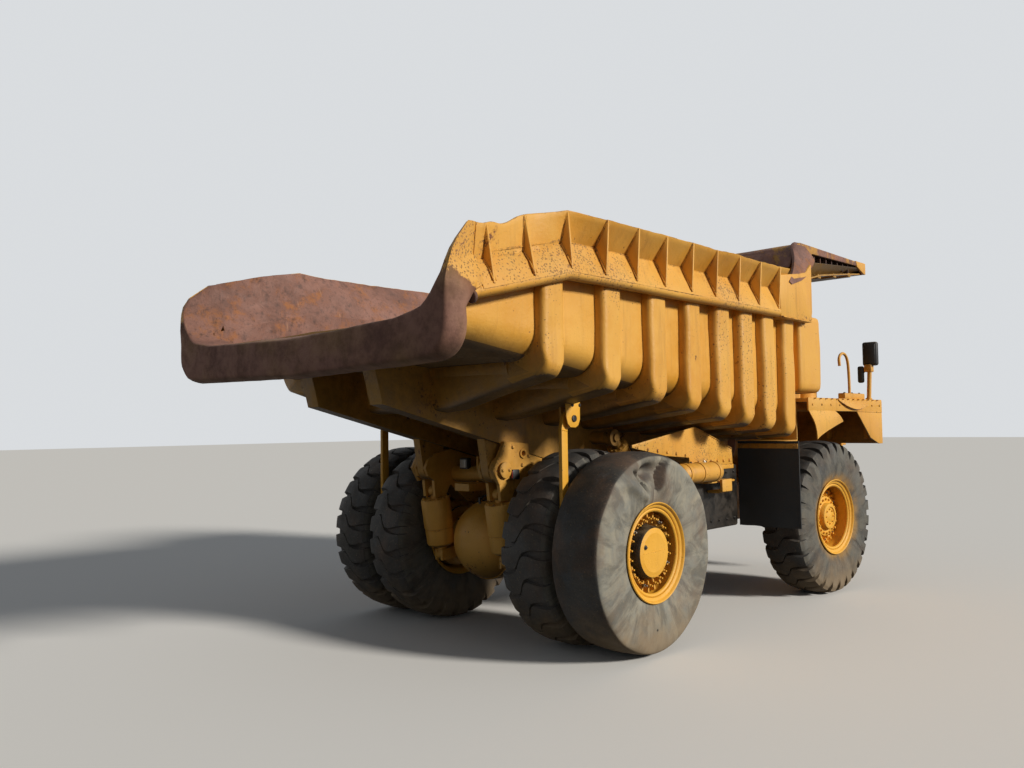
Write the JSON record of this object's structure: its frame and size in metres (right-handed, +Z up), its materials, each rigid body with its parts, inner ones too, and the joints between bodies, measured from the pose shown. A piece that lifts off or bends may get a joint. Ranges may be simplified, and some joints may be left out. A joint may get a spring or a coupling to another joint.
{
  "type": "rigid off-highway dump truck",
  "caption": "Rigid-frame mining dump truck with a ribbed tipping body, a canopy over a side cab, steered front wheels and twin rear wheels.",
  "frame": {"origin": "on the ground under the middle of the truck", "axes": "+Z up, +Y towards the tail, -Y towards the nose, +X towards the driver's side"},
  "size_m": [4.3, 9, 4.56],
  "materials": {
    "yellow_paint": "worn yellow enamel with rust spots",
    "chassis_paint": "dusty yellow enamel",
    "rusty_steel": "bare rusted steel",
    "tyre_rubber": "weathered rubber",
    "rubber_sheet": "black rubber sheet",
    "dark_paint": "matt black paint",
    "cab_glass": "clear glass",
    "cab_trim": "black vinyl and plastic",
    "rod_steel": "ground steel rod",
    "lamp_face": "lamp lens in a metal shell"
  },
  "bodies": {
    "chassis": {"frame": "chassis_paint", "bumper": "yellow_paint", "radiator_grille": "dark_paint", "engine_hood": "yellow_paint", "engine_block": "dark_paint", "right_deck": "yellow_paint", "left_deck": "yellow_paint", "handrails": "yellow_paint", "cab_shell": "yellow_paint", "cab_glass": "cab_glass", "cab_interior": "cab_trim", "mirrors": "dark_paint", "lamps": "lamp_face", "air_cleaners": "yellow_paint", "front_struts": "chassis_paint", "rear_axle": "chassis_paint", "rear_struts": "chassis_paint", "fuel_tank": "yellow_paint", "hydraulic_tank": "yellow_paint", "air_tank": "yellow_paint", "mud_flaps": "rubber_sheet"},
    "cab_door": {"cab_door": "yellow_paint", "cab_door_glass": "cab_glass"},
    "dump_body": {"body_floor": "rusty_steel", "body_side_right": "yellow_paint", "body_side_left": "yellow_paint", "body_front_wall": "rusty_steel", "body_canopy": "rusty_steel", "body_underframe": "chassis_paint"},
    "ejector_right": {"ejector_right": "yellow_paint"},
    "ejector_left": {"ejector_left": "yellow_paint"},
    "hoist_barrel_right": {"hoist_barrel_right": "yellow_paint"},
    "hoist_barrel_left": {"hoist_barrel_left": "yellow_paint"},
    "hoist_rod_right": {"hoist_rod_right": "rod_steel"},
    "hoist_rod_left": {"hoist_rod_left": "rod_steel"},
    "knuckle_right": {"knuckle_right": "chassis_paint"},
    "knuckle_left": {"knuckle_left": "chassis_paint"},
    "front_wheel_right": {"front_rim_right": "yellow_paint", "front_tyre_right": "tyre_rubber"},
    "front_wheel_left": {"front_rim_left": "yellow_paint", "front_tyre_left": "tyre_rubber"},
    "rear_wheels_right": {"rear_rims_right": "yellow_paint", "rear_tyres_right": "tyre_rubber"},
    "rear_wheels_left": {"rear_rims_left": "yellow_paint", "rear_tyres_left": "tyre_rubber"}
  },
  "joints": [
    {"name": "body_tip", "type": "hinge", "parent": "chassis", "child": "dump_body", "pos_m": [0, 2.4, 1.8], "axis": [-1, 0, 0], "range_deg": [0, 55]},
    {"name": "hoist_swing_right", "type": "hinge", "parent": "chassis", "child": "hoist_barrel_right", "pos_m": [-0.85, -0.55, 0.75], "axis": [1, 0, 0], "range_deg": [0, 3.26]},
    {"name": "hoist_slide_right", "type": "slide", "parent": "hoist_barrel_right", "child": "hoist_rod_right", "axis": [0, 0.7198, 0.6941], "range_m": [0, 1.4512]},
    {"name": "ejector_swing_right", "type": "hinge", "parent": "dump_body", "child": "ejector_right", "pos_m": [-1.3775, 2.25, 2.31], "axis": [1, 0, 0], "range_deg": [0, 60]},
    {"name": "steer_right", "type": "hinge", "parent": "chassis", "child": "knuckle_right", "pos_m": [-1.18, -2.55, 1], "axis": [0, 0, 1], "range_deg": [-31, 39]},
    {"name": "front_wheel_spin_right", "type": "hinge", "parent": "knuckle_right", "child": "front_wheel_right", "pos_m": [-1.18, -2.55, 1], "axis": [0.9976, -0.0698, 0], "continuous": true},
    {"name": "rear_wheel_spin_right", "type": "hinge", "parent": "chassis", "child": "rear_wheels_right", "pos_m": [-1.705, 1.65, 1], "axis": [1, 0, 0], "continuous": true},
    {"name": "hoist_swing_left", "type": "hinge", "parent": "chassis", "child": "hoist_barrel_left", "pos_m": [0.85, -0.55, 0.75], "axis": [1, 0, 0], "range_deg": [0, 3.26]},
    {"name": "hoist_slide_left", "type": "slide", "parent": "hoist_barrel_left", "child": "hoist_rod_left", "axis": [0, 0.7198, 0.6941], "range_m": [0, 1.4512]},
    {"name": "ejector_swing_left", "type": "hinge", "parent": "dump_body", "child": "ejector_left", "pos_m": [1.3775, 2.25, 2.31], "axis": [1, 0, 0], "range_deg": [0, 60]},
    {"name": "steer_left", "type": "hinge", "parent": "chassis", "child": "knuckle_left", "pos_m": [1.18, -2.55, 1], "axis": [0, 0, 1], "range_deg": [-31, 39]},
    {"name": "front_wheel_spin_left", "type": "hinge", "parent": "knuckle_left", "child": "front_wheel_left", "pos_m": [1.18, -2.55, 1], "axis": [0.9976, -0.0698, 0], "continuous": true},
    {"name": "rear_wheel_spin_left", "type": "hinge", "parent": "chassis", "child": "rear_wheels_left", "pos_m": [1.705, 1.65, 1], "axis": [1, 0, 0], "continuous": true},
    {"name": "cab_door_swing", "type": "hinge", "parent": "chassis", "child": "cab_door", "pos_m": [1.816, -3.436, 3.3], "axis": [0, 0, -1], "range_deg": [0, 95]}
  ],
  "couplings": [
    {"joint": "hoist_swing_right", "follows": "body_tip", "ratio": 0.059094},
    {"joint": "hoist_slide_right", "follows": "body_tip", "m_per_rad": 1.5112},
    {"joint": "hoist_swing_left", "follows": "body_tip", "ratio": 0.059094},
    {"joint": "hoist_slide_left", "follows": "body_tip", "m_per_rad": 1.5112},
    {"joint": "steer_left", "follows": "steer_right", "ratio": 1}
  ]
}
